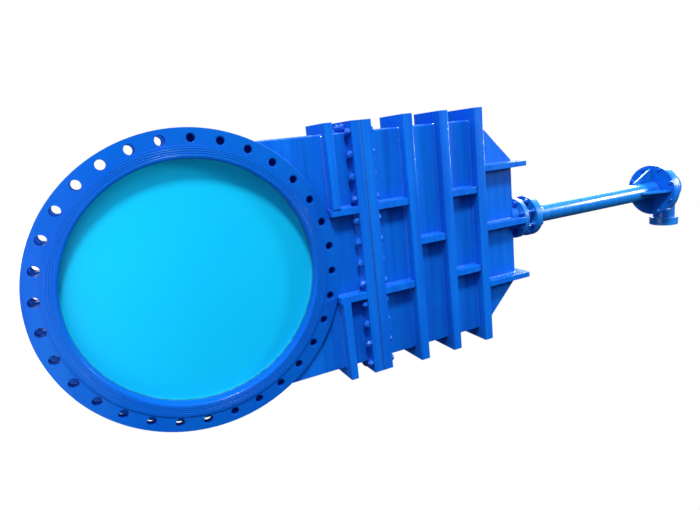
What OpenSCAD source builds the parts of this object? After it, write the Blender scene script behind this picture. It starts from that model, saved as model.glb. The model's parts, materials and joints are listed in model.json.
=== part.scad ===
// Fabricated bonneted knife gate valve, nominal bore 1200, with a bevel gear drive.
// Frame: origin at the centre of the inlet flange's ring face. +Y is the flow
// direction, +Z runs up the stem to the gearbox, X is across the valve.

/* [Line flanges] */
// Bore of the valve
bore_d = 1200; // [1180:5:1205]
// Outer diameter of both line flanges
flange_od = 1485; // [1470:5:1500]
// Pitch circle of the line bolts
flange_pcd = 1390; // [1388:1:1392]
// Number of line bolt holes in each flange
flange_holes = 32; // [32]
// Clearance hole on the free half of each flange, and the mouth of every line bolt hole
clear_hole_d = 48; // [42:1:50]
// Tapping hole on the half that the body covers
tapped_hole_d = 40.5; // [36:0.5:42]
// Depth of the blind tapped holes
tapped_depth = 46; // [36:1:48]
// Depth of the wider mouth of a tapped hole
tapped_relief = 1.5; // [1:0.5:3]
// Diameter of the raised sealing face
raised_face_d = 1325; // [1310:5:1335]
// Thickness of a flange ring without its raised face
ring_t = 57; // [54:1:60]
// Distance between the two raised faces
face_to_face = 190; // [188:2:196]

/* [Body and chest] */
// Half width of the body and chest plates
plate_half_w = 642; // [640:1:644]
// Thickness of the body and chest plates
plate_t = 25; // [20:1:26]
// Thickness of the bars that close the sides
side_bar_t = 20; // [18:1:21]
// Underside of the joint flange on the body
joint_z = 872; // [868:1:876]
// Thickness of each joint flange
joint_flange_t = 57; // [54:1:58]
// Thickness of the joint gasket
gasket_t = 4; // [3:0.5:5]
// Half width of the joint flanges
joint_half_w = 703; // [700:1:706]
// Height where the chest starts to taper
taper_z = 1717; // [1712:1:1720]
// Top of the chest plates
chest_top_z = 1974; // [1972:1:1976]
// Thickness of the chest's end plate
end_plate_t = 25; // [20:1:26]

/* [Ribs] */
// Half width over the three hoop ribs
hoop_half_w = 714; // [710:1:718]
// Height of a hoop rib's bar along the stem
hoop_w = 58; // [50:1:60]
// Lower edges of the three hoop ribs
hoop_z = [1185, 1420, 1665];
// How far ribs stand out from the plates
rib_out = 59; // [56:1:60]
// Place of the long and short ribs beside the middle
side_rib_x = 240; // [236:1:244]
// Thickness of the ribs that run along the stem
long_rib_t = 38; // [30:1:40]

/* [Gate and stem] */
// Thickness of the gate
gate_t = 56; // [50:1:56]
// Half width of the gate, also the radius of its round lower edge
gate_half_w = 618; // [616:0.5:618]
// Travel of the gate, a whole number of screw turns
travel = 1224; // [1224]
// Outer diameter of the hollow stem rod
rod_d = 85; // [80:1:86]
// Outer diameter of the drive screw's thread
screw_d = 60; // [56:1:62]

/* [Column and gearbox] */
// Outer diameter of the column tube
tube_d = 128; // [126:1:132]
// Inner diameter of the column tube
tube_bore = 112; // [108:1:114]
// Diameter of the flanges at the column's foot
neck_flange_d = 262; // [258:1:266]
// Top of the column tube
column_top_z = 3400; // [3398:1:3402]
// Diameter of the round flanges at the column's head
head_flange_d = 370; // [366:1:376]
// Height of the input shaft's axis
pinion_z = 3560; // [3560]
// Module of the bevel teeth at their large end
bevel_module = 5; // [5]
// Teeth on the bevel pinion
pinion_teeth = 18; // [18]
// Teeth on the bevel wheel
wheel_teeth = 36; // [36]

/* [Hidden] */

$fn = 96;
paint = [0.06, 0.36, 0.86];
coating = [0.08, 0.82, 0.97];
steel = [0.72, 0.73, 0.74];
bronze = [0.72, 0.52, 0.26];
rubber = [0.1, 0.1, 0.11];

// Levels through the thickness of the valve
raised_t = 5;
ring_step = 18;
mid_y = face_to_face / 2 - raised_t;
plate_front = ring_step;
plate_back = plate_front + plate_t;
cavity_w = 2 * (mid_y - plate_back);
rib_front = plate_front - rib_out;
flange_front = plate_front - 53;
inner_half_w = plate_half_w - side_bar_t;
seat_r = inner_half_w - 2;
seat_depth = 10;
seat_gap = 0.3;

// Levels up the stem
gasket_z = joint_z + joint_flange_t;
chest_z = gasket_z + gasket_t + joint_flange_t;
end_half_w = plate_half_w - (chest_top_z - taper_z);
cross_rib_z = 720;
cross_rib_w = 44;
neck_z = chest_top_z;
neck_flange_z = neck_z + 56;
neck_flange_t = 30;
gap_z = neck_flange_z + neck_flange_t;
foot_z = gap_z + 67;
tube_z = foot_z + 47;
head_z = column_top_z;
base_z = head_z + 30;
base_top_z = base_z + 35;

// Gate outline
gate_top_z = 719;
gate_slope = inner_half_w + taper_z + side_bar_t - side_bar_t * sqrt(2) - travel - 14;
pin_z = 676;
pin_d = 40;
tongue_t = 30;
tongue_w = 78;
tongue_z = 634;
rod_z = 760;
spigot_h = 30;
spigot_r = 20;
rod_bore_z = 800;
rod_top_z = 2136;
nut_flange_t = 25;

// Drive
apex = [0, mid_y, pinion_z];
pinion_r = bevel_module * pinion_teeth / 2;
wheel_r = bevel_module * wheel_teeth / 2;
cone_l = sqrt(pow(pinion_r, 2) + pow(wheel_r, 2));
face_w = 30;
screw_end_z = 2050;
neck_bolt_r = 110;
neck_bolts = 8;

// A profile drawn in X and Z, as a plate from y0 to y1
module slab(y0, y1) {
    translate([0, y1, 0])
        rotate([90, 0, 0])
            linear_extrude(y1 - y0)
                children();
}

// The same piece on the outlet side
module outlet_side() {
    translate([0, 2 * mid_y, 0])
        mirror([0, 1, 0])
            children();
}

module both_faces() {
    children();
    outlet_side()
        children();
}

module both_edges() {
    children();
    mirror([1, 0, 0])
        children();
}

// Box between two corners
module block(a, b) {
    translate(a)
        cube(b - a);
}

// Cylinder or tube on the stem axis
module on_stem(z0, z1, r, hole = 0) {
    translate([0, mid_y, z0])
        difference() {
            cylinder(h = z1 - z0, r = r);
            if (hole > 0)
                translate([0, 0, -1])
                    cylinder(h = z1 - z0 + 2, r = hole);
        }
}

// Cylinder or tube on the input shaft's axis
module on_input(x0, x1, r, hole = 0) {
    translate([x0, mid_y, pinion_z])
        rotate([0, 90, 0])
            difference() {
                cylinder(h = x1 - x0, r = r);
                if (hole > 0)
                    translate([0, 0, -1])
                        cylinder(h = x1 - x0 + 2, r = hole);
            }
}

module around_stem(count, r, z, turn = 0) {
    for (i = [0 : count - 1])
        translate([0, mid_y, z])
            rotate([0, 0, turn + i * 360 / count])
                translate([r, 0, 0])
                    children();
}

module around_input(count, r, x, turn = 0) {
    for (i = [0 : count - 1])
        translate([x, mid_y, pinion_z])
            rotate([turn + i * 360 / count, 0, 0])
                translate([0, 0, r])
                    rotate([0, 90, 0])
                        children();
}

module hexagon(across, h) {
    cylinder(h = h, d = across / cos(30), $fn = 6);
}

// Hexagon bolt with its head on z = 0 and its shank going down
module hex_bolt(d, shank) {
    hexagon(1.5 * d, 0.62 * d);
    translate([0, 0, -shank])
        cylinder(h = shank, d = d);
}

module hex_nut(d, h) {
    difference() {
        hexagon(1.5 * d, h);
        translate([0, 0, -1])
            cylinder(h = h + 2, d = d);
    }
}

// Line flanges

function hole_angle(i) = (i + 0.5) * 360 / flange_holes;

module line_holes() {
    for (i = [0 : flange_holes - 1]) {
        a = hole_angle(i);
        free = cos(a) < 0;
        translate([flange_pcd / 2 * sin(a), 0, flange_pcd / 2 * cos(a)])
            rotate([-90, 0, 0])
                translate([0, 0, -1]) {
                    cylinder(h = 1 + (free ? ring_t + 1 : tapped_relief), d = clear_hole_d);
                    if (!free)
                        cylinder(h = 1 + tapped_depth, d = tapped_hole_d);
                }
    }
}

module line_flange() {
    difference() {
        union() {
            slab(0, ring_t)
                circle(d = flange_od, $fn = 180);
            slab(-raised_t, 0)
                circle(d = raised_face_d, $fn = 180);
        }
        slab(-raised_t - 1, ring_t + 1)
            circle(d = bore_d, $fn = 180);
        slab(ring_t - seat_depth, ring_t + 1)
            circle(r = seat_r, $fn = 180);
        line_holes();
        for (i = [0 : 3])
            slab(-raised_t - 1, -raised_t + 0.5)
                difference() {
                    circle(d = raised_face_d - 8 - i * 22, $fn = 180);
                    circle(d = raised_face_d - 12 - i * 22, $fn = 180);
                }
    }
}

module front_flange_ring() {
    color(paint)
        line_flange();
}

module rear_flange_ring() {
    color(paint)
        outlet_side()
            line_flange();
}

module seat_ring() {
    slab(ring_t - seat_depth, mid_y - gate_t / 2 - seat_gap)
        difference() {
            circle(r = seat_r - 0.05, $fn = 180);
            circle(d = bore_d, $fn = 180);
        }
}

module front_seat_ring() {
    color(steel)
        seat_ring();
}

module rear_seat_ring() {
    color(steel)
        outlet_side()
            seat_ring();
}

// Lower body

module body_plate() {
    slab(plate_front, plate_back)
        difference() {
            translate([-plate_half_w, 0])
                square([2 * plate_half_w, joint_z]);
            circle(d = flange_od, $fn = 180);
            translate([-flange_od, -flange_od])
                square([2 * flange_od, flange_od + 1]);
        }
}

module front_body_plate() {
    color(paint)
        body_plate();
}

module rear_body_plate() {
    color(paint)
        outlet_side()
            body_plate();
}

module body_outline(half_w, top) {
    circle(r = half_w, $fn = 180);
    translate([-half_w, 0])
        square([2 * half_w, top]);
}

module body_edge_bar() {
    color(paint)
        difference() {
            union() {
                slab(ring_t, 2 * mid_y - ring_t)
                    body_outline(plate_half_w, joint_z);
                slab(plate_back, plate_back + cavity_w)
                    difference() {
                        translate([-plate_half_w, 0])
                            square([2 * plate_half_w, joint_z]);
                        circle(d = flange_od, $fn = 180);
                    }
            }
            slab(0, 2 * mid_y)
                body_outline(inner_half_w, joint_z + 1);
        }
}

// Rib across one edge of the body, from the long rib round to the other face
module body_cross_ribs() {
    color(paint)
        both_edges()
            difference() {
                block([side_rib_x + long_rib_t / 2, rib_front, cross_rib_z],
                    [hoop_half_w - 12, 2 * mid_y - rib_front, cross_rib_z + cross_rib_w]);
                block([0, plate_front, cross_rib_z - 1],
                    [plate_half_w, 2 * mid_y - plate_front, cross_rib_z + cross_rib_w + 1]);
            }
}

module body_long_ribs() {
    edge = sqrt(pow(flange_od / 2, 2) - pow(side_rib_x - long_rib_t / 2, 2));
    color(paint)
        both_faces()
            both_edges()
                block([side_rib_x - long_rib_t / 2, flange_front, edge],
                    [side_rib_x + long_rib_t / 2, plate_front, joint_z]);
}

// Joint between body and chest

joint_pitch = 118;
joint_per_side = 12;
end_bolt_y = 62;
joint_bolt_d = 24;
joint_row_y = plate_front - 27;

module joint_places() {
    for (i = [0 : joint_per_side - 1], side = [-1, 1])
        translate([(i - (joint_per_side - 1) / 2) * joint_pitch, mid_y + side * (mid_y - joint_row_y), 0])
            children();
    for (end = [-1, 1], side = [-1, 1])
        translate([end * (plate_half_w + 30), mid_y + side * end_bolt_y / 2, 0])
            children();
}

module joint_frame(z0, t, hole_d) {
    difference() {
        block([-joint_half_w, flange_front, z0],
            [joint_half_w, 2 * mid_y - flange_front, z0 + t]);
        block([-inner_half_w, plate_back, z0 - 1],
            [inner_half_w, plate_back + cavity_w, z0 + t + 1]);
        translate([0, 0, z0 - 1])
            joint_places()
                cylinder(h = t + 2, d = hole_d);
    }
}

module body_joint_flange() {
    color(paint)
        joint_frame(joint_z, joint_flange_t, joint_bolt_d + 2);
}

module joint_gasket() {
    color(rubber)
        joint_frame(gasket_z, gasket_t, joint_bolt_d + 3);
}

module chest_joint_flange() {
    color(paint)
        joint_frame(gasket_z + gasket_t, joint_flange_t, joint_bolt_d + 2);
}

module joint_bolts() {
    color(paint)
        translate([0, 0, chest_z])
            joint_places()
                hex_bolt(joint_bolt_d, 2 * joint_flange_t + gasket_t + 27);
}

module joint_nuts() {
    color(paint)
        translate([0, 0, joint_z - 20])
            joint_places()
                hex_nut(joint_bolt_d, 20);
}

// Chest

module chest_outline(half_w, end_w, top) {
    polygon([[-half_w, chest_z], [half_w, chest_z], [half_w, top - half_w + end_w],
        [end_w, top], [-end_w, top], [-half_w, top - half_w + end_w]]);
}

module chest_plate() {
    slab(plate_front, plate_back)
        chest_outline(plate_half_w, end_half_w, chest_top_z);
}

module chest_front_plate() {
    color(paint)
        chest_plate();
}

module chest_rear_plate() {
    color(paint)
        outlet_side()
            chest_plate();
}

// Half width inside the sloping bars, at the underside of the end plate
inner_end_w = end_half_w + end_plate_t - side_bar_t * sqrt(2);

module chest_side_bars() {
    color(paint)
        slab(plate_back, plate_back + cavity_w)
            difference() {
                chest_outline(plate_half_w, end_half_w + end_plate_t, chest_top_z - end_plate_t);
                translate([0, -1])
                    chest_outline(inner_half_w, inner_end_w, chest_top_z - end_plate_t + 1);
                translate([-end_half_w, chest_top_z - end_plate_t - 1])
                    square([2 * end_half_w, 10]);
            }
}

module chest_end_plate() {
    color(paint)
        difference() {
            slab(plate_back, plate_back + cavity_w)
                polygon([[-end_half_w - end_plate_t, chest_top_z - end_plate_t],
                    [end_half_w + end_plate_t, chest_top_z - end_plate_t],
                    [end_half_w, chest_top_z], [-end_half_w, chest_top_z]]);
            on_stem(chest_top_z - 50, chest_top_z + 1, rod_d / 2 + 3);
        }
}

module hoop(z0) {
    color(paint)
        difference() {
            block([-hoop_half_w, rib_front, z0],
                [hoop_half_w, 2 * mid_y - rib_front, z0 + hoop_w]);
            block([-plate_half_w, plate_front, z0 - 1],
                [plate_half_w, 2 * mid_y - plate_front, z0 + hoop_w + 1]);
        }
}

module hoop_rib_lower() {
    hoop(hoop_z[0]);
}

module hoop_rib_middle() {
    hoop(hoop_z[1]);
}

module hoop_rib_upper() {
    hoop(hoop_z[2]);
}

module short_rib(x, z0, z1) {
    block([x - long_rib_t / 2, flange_front, z0],
        [x + long_rib_t / 2, plate_front, z1]);
}

module chest_short_ribs() {
    color(paint)
        both_faces() {
            short_rib(-side_rib_x, chest_z, hoop_z[0]);
            short_rib(side_rib_x, chest_z, hoop_z[0]);
            short_rib(0, hoop_z[0] + hoop_w, hoop_z[1]);
            short_rib(-side_rib_x, hoop_z[1] + hoop_w, hoop_z[2]);
            short_rib(side_rib_x, hoop_z[1] + hoop_w, hoop_z[2]);
        }
}

saddle_x = 357;
saddle_t = 34;
saddle_top_z = chest_top_z + 71;
gusset_z = hoop_z[2] + hoop_w;

// Plates that wrap over the end of the chest from face to face
module saddle_gussets() {
    color(paint)
        both_edges()
            difference() {
                block([saddle_x - saddle_t / 2, rib_front, gusset_z],
                    [saddle_x + saddle_t / 2, 2 * mid_y - rib_front, saddle_top_z]);
                block([0, plate_front, gusset_z - 1],
                    [2 * saddle_x, 2 * mid_y - plate_front, chest_top_z]);
            }
}

stuffing_r = 80;

module centre_gussets() {
    color(paint)
        both_faces()
            difference() {
                block([-long_rib_t / 2, rib_front, gusset_z],
                    [long_rib_t / 2, mid_y - stuffing_r / 2, neck_flange_z]);
                block([-100, plate_front, gusset_z - 1],
                    [100, mid_y, chest_top_z]);
                on_stem(chest_top_z - 1, neck_flange_z + 1, stuffing_r);
            }
}

// Gate and what moves with it

module gate_outline() {
    shoulder = gate_slope - gate_half_w;
    polygon([[-gate_half_w, 0], [gate_half_w, 0], [gate_half_w, shoulder],
        [gate_slope - gate_top_z, gate_top_z], [gate_top_z - gate_slope, gate_top_z],
        [-gate_half_w, shoulder]]);
}

module gate() {
    knife = 12;
    half_t = gate_t / 2;
    color(coating)
        difference() {
            union() {
                slab(mid_y - half_t, mid_y + half_t)
                    gate_outline();
                translate([0, mid_y, 0])
                    rotate([-90, 0, 0])
                        rotate_extrude($fn = 180)
                            polygon([[0, -half_t], [gate_half_w, -half_t], [gate_half_w, 0],
                                [gate_half_w - knife, half_t], [0, half_t]]);
            }
            block([-tongue_w / 2 - 1, mid_y - tongue_t / 2 - 0.4, tongue_z - 2],
                [tongue_w / 2 + 1, mid_y + tongue_t / 2 + 0.4, gate_top_z + 1]);
            slab(0, 2 * mid_y)
                translate([0, pin_z])
                    circle(d = pin_d + 0.1);
        }
}

// Flat tongue that hangs in the gate's slot, with a spigot up into the rod
module rod_tongue() {
    color(steel)
        union() {
            difference() {
                block([-tongue_w / 2, mid_y - tongue_t / 2, tongue_z],
                    [tongue_w / 2, mid_y + tongue_t / 2, rod_z]);
                slab(0, 2 * mid_y)
                    translate([0, pin_z])
                        circle(d = pin_d + 0.1);
            }
            on_stem(rod_z - 1, rod_z + spigot_h, spigot_r);
        }
}

module gate_pin() {
    color(steel)
        translate([0, mid_y - gate_t / 2 + 0.5, pin_z])
            rotate([-90, 0, 0])
                difference() {
                    cylinder(h = gate_t - 1, d = pin_d);
                    for (end = [2.4, gate_t - 5.6])
                        translate([0, 0, end])
                            difference() {
                                cylinder(h = 2.2, d = pin_d + 2);
                                translate([0, 0, -1])
                                    cylinder(h = 5, d = pin_d - 3);
                            }
                }
}

// Spring rings in the grooves at both ends of the pin
module gate_pin_rings() {
    color(steel)
        for (end = [2.5, gate_t - 5.5])
            translate([0, mid_y - gate_t / 2 + 0.5 + end, pin_z])
                rotate([-90, 0, 0])
                    difference() {
                        cylinder(h = 2, d = pin_d + 0.05);
                        translate([0, 0, -1])
                            cylinder(h = 4, d = pin_d - 2.8);
                        translate([-4, 0, -1])
                            cube([8, 40, 4]);
                    }
}

module stem_rod() {
    color(steel)
        difference() {
            on_stem(rod_z, rod_top_z, rod_d / 2);
            on_stem(rod_z - 1, rod_z + spigot_h, spigot_r);
            on_stem(rod_bore_z, rod_top_z + 1, screw_d / 2 + 2);
            on_stem(rod_top_z - 75, rod_top_z + 1, 37);
        }
}

module stem_nut() {
    color(bronze)
        difference() {
            union() {
                on_stem(rod_top_z - 74, rod_top_z + 1, 37);
                on_stem(rod_top_z, rod_top_z + nut_flange_t, 48.5);
            }
            on_stem(rod_top_z - 80, rod_top_z + nut_flange_t + 1, screw_d / 2 + 0.06);
        }
}

// Bronze bars that carry the gate's faces, split where the chest comes off
module guide_strips() {
    inner = gate_half_w - 48;
    low = sqrt(pow(flange_od / 2, 2) - pow(inner, 2)) + 6;
    color(bronze)
        both_faces()
            both_edges() {
                block([inner, plate_back, low],
                    [inner_half_w, mid_y - gate_t / 2 - 0.4, gasket_z - 1]);
                block([inner, plate_back, gasket_z + gasket_t + 1],
                    [inner_half_w, mid_y - gate_t / 2 - 0.4, taper_z - 20]);
            }
}

// Stuffing box and neck

gland_stud_r = 74;
packing_r = 61;
packing_z = neck_z + 16;
packing_side = packing_r - rod_d / 2 - 0.1;
gland_foot_z = packing_z + 3 * packing_side;

module stuffing_box() {
    color(paint)
        difference() {
            union() {
                on_stem(neck_z, neck_flange_z + 1, stuffing_r);
                on_stem(neck_flange_z, gap_z, neck_flange_d / 2);
            }
            on_stem(neck_z - 1, gap_z + 1, rod_d / 2 + 0.8);
            on_stem(packing_z, gap_z + 1, packing_r);
            around_stem(neck_bolts, neck_bolt_r, neck_flange_z - 1, 22.5)
                cylinder(h = neck_flange_t + 2, d = 22);
            around_stem(4, gland_stud_r, gap_z - 24, 45)
                cylinder(h = 25, d = 12);
        }
}

// Three square rings of braided packing
module packing_rings() {
    color([0.25, 0.22, 0.18])
        for (i = [0 : 2])
            on_stem(packing_z + i * packing_side, packing_z + (i + 1) * packing_side - 0.3,
                packing_r, rod_d / 2 + 0.05);
}

module gland_follower() {
    color(steel)
        difference() {
            union() {
                on_stem(gland_foot_z, gap_z + 14, packing_r - 0.2);
                on_stem(gap_z + 5, gap_z + 14, 88);
            }
            on_stem(gland_foot_z - 1, gap_z + 15, rod_d / 2 + 0.6);
            around_stem(4, gland_stud_r, gap_z, 45)
                cylinder(h = 20, d = 13);
        }
}

module gland_studs() {
    color(steel)
        around_stem(4, gland_stud_r, gap_z - 24, 45)
            cylinder(h = 52, d = 12);
}

module gland_nuts() {
    color(steel)
        around_stem(4, gland_stud_r, gap_z + 14, 45)
            hex_nut(12, 10);
}

module column_foot_flange() {
    color(paint)
        difference() {
            on_stem(foot_z, tube_z, neck_flange_d / 2, tube_bore / 2);
            around_stem(neck_bolts, neck_bolt_r, foot_z - 1, 22.5)
                cylinder(h = tube_z - foot_z + 2, d = 22);
        }
}

module column_studs() {
    color(paint)
        around_stem(neck_bolts, neck_bolt_r, neck_flange_z - 22, 22.5)
            cylinder(h = tube_z - neck_flange_z + 44, d = 20);
}

// A nut on each side of both flanges holds them apart
module column_nuts() {
    color(paint)
        for (level = [neck_flange_z - 16, gap_z, foot_z - 16, tube_z])
            around_stem(neck_bolts, neck_bolt_r, level, 22.5)
                hex_nut(20, 16);
}

// Column

module column_tube() {
    color(paint)
        on_stem(tube_z, head_z, tube_d / 2, tube_bore / 2);
}

// Triangular web from the tube to a flange; the leg along the tube goes to -Z
module web(leg, reach, t) {
    rotate([90, 0, 0])
        translate([0, 0, -t / 2])
            linear_extrude(t)
                polygon([[0, 0], [reach, 0], [reach, -14], [14, -leg], [0, -leg]]);
}

module tube_webs(leg, reach, t) {
    around_stem(4, 0, 0, 0)
        difference() {
            translate([tube_d / 2 - 3, 0, 0])
                web(leg, reach + 3, t);
            translate([0, 0, -leg - 1])
                cylinder(h = leg + 2, d = tube_d);
        }
}

module column_foot_gussets() {
    color(paint)
        translate([0, 0, tube_z])
            translate([0, 2 * mid_y, 0])
                rotate([180, 0, 0])
                    tube_webs(70, 24, 14);
}

module column_head_gussets() {
    color(paint)
        translate([0, 0, head_z])
            tube_webs(190, 99, 14);
}

head_bolt_r = 168;

module column_head_flange() {
    color(paint)
        difference() {
            on_stem(head_z, base_z, head_flange_d / 2, tube_bore / 2);
            around_stem(8, head_bolt_r, head_z - 1, 22.5)
                cylinder(h = 40, d = 18);
        }
}

// Bolt heads face down the column
module head_bolts() {
    color(paint)
        around_stem(8, head_bolt_r, head_z, 22.5)
            rotate([180, 0, 0])
                hex_bolt(16, 55);
}

// Gearbox

housing_r = 112;
housing_bore_r = 101;
housing_flange_r = 146;
housing_bolt_r = 130;
cover_bolt_r = 63;
boss_top_z = base_top_z + 30;

module gearbox_base() {
    color(paint)
        difference() {
            union() {
                on_stem(base_z, base_top_z, head_flange_d / 2);
                on_stem(base_top_z - 1, boss_top_z, 62);
            }
            on_stem(base_z - 1, boss_top_z + 1, screw_d / 2 + 1.5);
            on_stem(base_z + 6, boss_top_z + 1, 47.5);
            around_stem(8, head_bolt_r, base_z - 1, 22.5)
                cylinder(h = 27, d = 16);
            around_stem(8, housing_bolt_r, base_top_z - 22, 22.5)
                cylinder(h = 30, d = 12);
            around_stem(6, 55, boss_top_z - 14, 0)
                cylinder(h = 20, d = 6);
        }
}

// Ball thrust bearing: two washers with a ring of balls between them
module thrust_bearing(z0) {
    color(steel) {
        on_stem(z0, z0 + washer_t, 47.3, screw_d / 2 + 0.05);
        on_stem(z0 + thrust_h - washer_t, z0 + thrust_h, 47.3, screw_d / 2 + 0.05);
        around_stem(14, 39, z0 + thrust_h / 2, 0)
            sphere(d = thrust_h - 2 * washer_t - 0.4, $fn = 16);
    }
}

lower_bearing_z = base_z + 6;
washer_t = 7;
thrust_h = 24;
collar_z = lower_bearing_z + thrust_h;
collar_t = 10;
upper_bearing_z = collar_z + collar_t;

module lower_thrust_bearing() {
    thrust_bearing(lower_bearing_z);
}

module upper_thrust_bearing() {
    thrust_bearing(upper_bearing_z);
}

// Cap that holds the thrust bearings down in the boss
module bearing_cap() {
    color(steel)
        difference() {
            on_stem(boss_top_z, boss_top_z + 8, 62, 34);
            around_stem(6, 55, boss_top_z - 1, 0)
                cylinder(h = 12, d = 6.4);
        }
}

shaft_r = 25;
screw_top_z = pinion_z - 18;

module drive_screw() {
    color(steel)
        difference() {
            union() {
                on_stem(screw_end_z, wheel_z, screw_d / 2);
                on_stem(collar_z + 0.1, collar_z + collar_t - 0.1, 44);
                on_stem(wheel_z - 1, screw_top_z, shaft_r);
            }
            block([-7, mid_y + shaft_r - 5.5, wheel_z], [7, mid_y + 40, wheel_hub_z]);
        }
}

// Bevel gears

tooth_add = 0.72 * bevel_module;
tooth_ded = 1.05 * bevel_module;
backlash = 0.9;
gear_back = 4;
blank_root = tooth_ded - 0.4;

// Underside of the wheel, and the top of its hub
wheel_z = pinion_z - pinion_r - blank_root * wheel_r / cone_l - gear_back;
wheel_hub_z = pinion_z - (pinion_r + blank_root * wheel_r / cone_l) * (1 - face_w / cone_l);

// Section of one tooth across a cone under the apex, k of the way out to the large
// end. r and h are the pitch radius and the pitch height at the large end.
function tooth_section(r, h, k) =
    [for (side = [-1, 1], depth = [-tooth_ded, tooth_add])
        let (half = PI * bevel_module / 4 - backlash / 2 - depth * tan(20))
        k * [r + depth * h / cone_l, side * half, depth * r / cone_l - h]];

module bevel_tooth(r, h) {
    polyhedron(
        points = concat(tooth_section(r, h, 1), tooth_section(r, h, 1 - face_w / cone_l)),
        faces = [[0, 1, 3, 2], [4, 6, 7, 5], [0, 4, 5, 1], [2, 3, 7, 6], [0, 2, 6, 4], [1, 5, 7, 3]]);
}

// Blank of a bevel gear below its apex, in the gear's own axis
module bevel_blank(r, h, hole) {
    k = 1 - face_w / cone_l;
    rr = r - blank_root * h / cone_l;
    hh = h + blank_root * r / cone_l;
    rotate_extrude()
        polygon([[hole, -hh - gear_back], [rr - gear_back * 0.6, -hh - gear_back], [rr, -hh],
            [rr * k, -hh * k], [hole, -hh * k]]);
}

module wheel_teeth_ring() {
    for (i = [0 : wheel_teeth - 1])
        rotate([0, 0, i * 360 / wheel_teeth])
            bevel_tooth(wheel_r, pinion_r);
}

module bevel_wheel() {
    color(steel)
        translate(apex)
            difference() {
                union() {
                    bevel_blank(wheel_r, pinion_r, shaft_r + 0.02);
                    wheel_teeth_ring();
                }
                translate([-7, 0, -70])
                    cube([14, shaft_r + 3.5, 60]);
            }
}

module wheel_key() {
    color(steel)
        block([-6.95, mid_y + shaft_r - 5.4, wheel_z + 0.5],
            [6.95, mid_y + shaft_r + 3.4, wheel_hub_z - 0.5]);
}

module wheel_lock_nut() {
    color(steel)
        difference() {
            on_stem(wheel_hub_z + 0.1, wheel_hub_z + 12, 36);
            on_stem(wheel_hub_z - 1, wheel_hub_z + 13, shaft_r);
        }
}

input_shaft_r = 20;
journal_r = 22;
input_x = 225;
input_flange_t = 57;
input_flange_r = 97;

module bevel_pinion() {
    color(steel) {
        difference() {
            union() {
                translate(apex)
                    rotate([0, -90, 0])
                        union() {
                            bevel_blank(pinion_r, wheel_r, 0);
                            for (i = [0 : pinion_teeth - 1])
                                rotate([0, 0, (i + 0.5) * 360 / pinion_teeth])
                                    bevel_tooth(pinion_r, wheel_r);
                        }
                on_input(wheel_r + 6, input_x, journal_r);
                on_input(input_x - 1, input_x + input_flange_t - 4, input_shaft_r);
            }
            block([input_x + 28, mid_y + input_shaft_r - 5, pinion_z - 6],
                [input_x + input_flange_t, mid_y + input_shaft_r + 4, pinion_z + 6]);
        }
    }
}

// Lip seal outside the outer bearing
module shaft_seal() {
    color(rubber)
        on_input(input_x - 14, input_x - 4, 40, journal_r + 0.05);
}

// Two ball bearings on the input shaft
module pinion_bearings() {
    color(steel)
        for (x = [116, 184]) {
            on_input(x, x + 18, 40, 34);
            on_input(x, x + 18, 26, journal_r + 0.03);
            around_input(9, 30, x + 9)
                sphere(r = 3.8, $fn = 16);
        }
}

module gearbox_housing() {
    color(paint)
        difference() {
            union() {
                on_stem(base_top_z, base_top_z + 16, housing_flange_r);
                on_stem(base_top_z, pinion_z + 20, housing_r);
                translate([0, mid_y, 0])
                    rotate_extrude()
                        polygon([[0, pinion_z + 20], [housing_r, pinion_z + 20],
                            [housing_r - 6, pinion_z + 44], [housing_r - 24, pinion_z + 62],
                            [housing_r - 42, pinion_z + 70], [0, pinion_z + 70]]);
                on_input(80, input_x, 74);
            }
            on_stem(base_top_z - 1, pinion_z + 26, housing_bore_r);
            on_stem(pinion_z + 20, pinion_z + 44, 84);
            on_stem(pinion_z + 40, pinion_z + 80, 56);
            on_input(0, wheel_r + 14, 52);
            on_input(0, input_x + 1, 40);
            around_stem(8, housing_bolt_r, base_top_z - 1, 22.5)
                cylinder(h = 30, d = 13);
            around_stem(6, cover_bolt_r, pinion_z + 56, 0)
                cylinder(h = 20, d = 8);
        }
}

// Bolts of the housing's foot and of its cover
module housing_bolts() {
    color(paint) {
        around_stem(8, housing_bolt_r, base_top_z + 16, 22.5)
            hex_bolt(12, 34);
        around_stem(6, cover_bolt_r, pinion_z + 78, 0)
            hex_bolt(8, 18);
    }
}

module housing_cover() {
    color(paint)
        difference() {
            union() {
                on_stem(pinion_z + 70, pinion_z + 78, 70);
                on_stem(pinion_z + 58, pinion_z + 71, 55.8);
            }
            around_stem(6, cover_bolt_r, pinion_z + 60, 0)
                cylinder(h = 30, d = 8);
        }
}

module input_flange() {
    color(paint)
        difference() {
            on_input(input_x, input_x + input_flange_t, input_flange_r, 45);
            around_input(4, 70, input_x - 1, 45)
                cylinder(h = input_flange_t + 2, d = 18);
        }
}

front_flange_ring();
rear_flange_ring();
front_body_plate();
rear_body_plate();
body_edge_bar();
body_cross_ribs();
body_long_ribs();
body_joint_flange();
joint_gasket();
chest_joint_flange();
joint_bolts();
joint_nuts();
chest_front_plate();
chest_rear_plate();
chest_side_bars();
chest_end_plate();
hoop_rib_lower();
hoop_rib_middle();
hoop_rib_upper();
chest_short_ribs();
saddle_gussets();
centre_gussets();
front_seat_ring();
rear_seat_ring();
guide_strips();
gate();
rod_tongue();
gate_pin();
gate_pin_rings();
stem_rod();
stem_nut();
stuffing_box();
packing_rings();
gland_follower();
gland_studs();
gland_nuts();
column_foot_flange();
column_studs();
column_nuts();
column_tube();
column_foot_gussets();
column_head_flange();
column_head_gussets();
head_bolts();
gearbox_base();
lower_thrust_bearing();
upper_thrust_bearing();
bearing_cap();
drive_screw();
bevel_wheel();
wheel_key();
wheel_lock_nut();
gearbox_housing();
housing_bolts();
housing_cover();
bevel_pinion();
pinion_bearings();
shaft_seal();
input_flange();
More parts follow.
